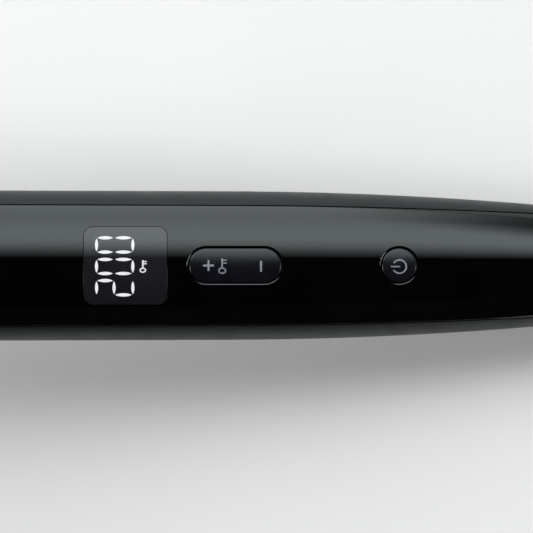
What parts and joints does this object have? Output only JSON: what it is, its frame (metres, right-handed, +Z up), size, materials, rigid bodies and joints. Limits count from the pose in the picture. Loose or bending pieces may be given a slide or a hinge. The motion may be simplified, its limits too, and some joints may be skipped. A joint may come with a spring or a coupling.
{
  "type": "curling iron",
  "caption": "Digital curling iron with a spring clamp, a folding stand, a glossy control handle and a swivelling cord outlet, resting on its stand.",
  "frame": {"origin": "the point on the table under the middle of the iron, as it rests on its stand and tail", "axes": "+X from the barrel's cool tip towards the cord end, +Z up off the table; the display faces up and leans back by the iron's 6.7 degree slope"},
  "size_m": [0.3862, 0.0366, 0.0665],
  "materials": {
    "gloss_black": "gloss",
    "satin_grey": "satin",
    "smoked_window": "gloss",
    "lit_digits": "satin",
    "soft_button": "satin",
    "button_symbol": "matte",
    "coated_barrel": "satin",
    "heat_plastic": "matte",
    "steel": "satin",
    "aluminium": "satin",
    "brass": "satin",
    "circuit_board": "satin",
    "chip_black": "matte",
    "led_body": "matte",
    "white_ceramic": "matte",
    "silicone": "matte",
    "film_blue": "satin"
  },
  "bodies": {
    "root": {"upper_cover": "gloss_black", "lower_shell": "satin_grey", "collar_screw": "steel", "cover_screw_front": "steel", "cover_screw_rear": "steel", "tail_ring": "satin_grey", "barrel_collar": "heat_plastic", "barrel": "coated_barrel", "barrel_screw_left": "steel", "barrel_screw_right": "steel", "cool_tip": "heat_plastic", "tip_screw": "steel", "tip_anchor": "steel", "heat_spreader_upper": "aluminium", "heat_spreader_lower": "aluminium", "heater_plate": "white_ceramic", "thermistor": "white_ceramic", "thermal_fuse": "white_ceramic", "clamp_spring": "steel", "clamp_pin": "steel", "stand_pin": "steel", "display_window": "smoked_window", "button_frame": "heat_plastic", "rocker_axle": "steel", "switch_plus": "chip_black", "switch_minus": "chip_black", "switch_power": "chip_black", "display_module": "led_body", "control_board": "circuit_board", "power_board": "circuit_board", "power_board_screw_front": "steel", "power_board_screw_rear": "steel", "control_screw_front": "steel", "control_screw_rear": "steel", "control_chip": "chip_black", "triac": "chip_black", "film_capacitor": "film_blue", "heater_lead_left": "silicone", "heater_lead_right": "silicone", "sensor_lead": "silicone", "swivel_housing": "heat_plastic", "brush_front": "brass", "brush_rear": "brass", "supply_lead_left": "silicone", "supply_lead_right": "silicone"},
    "clamp": {"clamp_plate": "coated_barrel", "clamp_bracket": "steel", "clamp_rivet_front": "steel", "clamp_rivet_rear": "steel", "clamp_lever": "satin_grey", "lever_screw": "steel"},
    "stand": {"stand_leg": "heat_plastic"},
    "rocker": {"rocker_button": "soft_button"},
    "power": {"power_button": "soft_button"},
    "cord_swivel": {"swivel_gland": "heat_plastic", "contact_ring_front": "brass", "contact_ring_rear": "brass"}
  },
  "joints": [
    {"name": "clamp_hinge", "type": "hinge", "parent": "root", "child": "clamp", "pos_m": [-0.02097, 0, 0.05237], "axis": [0, 1, 0], "range_deg": [0, 15], "stiffness_Nm_per_rad": 0.3, "springref_deg": -14.32},
    {"name": "stand_fold", "type": "hinge", "parent": "root", "child": "stand", "pos_m": [-0.03893, 0, 0.01965], "axis": [0, 1, 0], "range_deg": [0, 104]},
    {"name": "temperature_rocker", "type": "hinge", "parent": "root", "child": "rocker", "pos_m": [0.0779, 0, 0.03344], "axis": [0, 1, 0], "range_deg": [-2.5, 2.5], "stiffness_Nm_per_rad": 0.28},
    {"name": "power_press", "type": "slide", "parent": "root", "child": "power", "axis": [-0.1173, 0, -0.9931], "range_m": [0, 0.0006], "stiffness_N_per_m": 2400, "springref_m": -0.0002},
    {"name": "cord_swivel", "type": "hinge", "parent": "root", "child": "cord_swivel", "pos_m": [0.19245, 0, 0.00924], "axis": [0.9931, 0, -0.1173], "continuous": true}
  ]
}
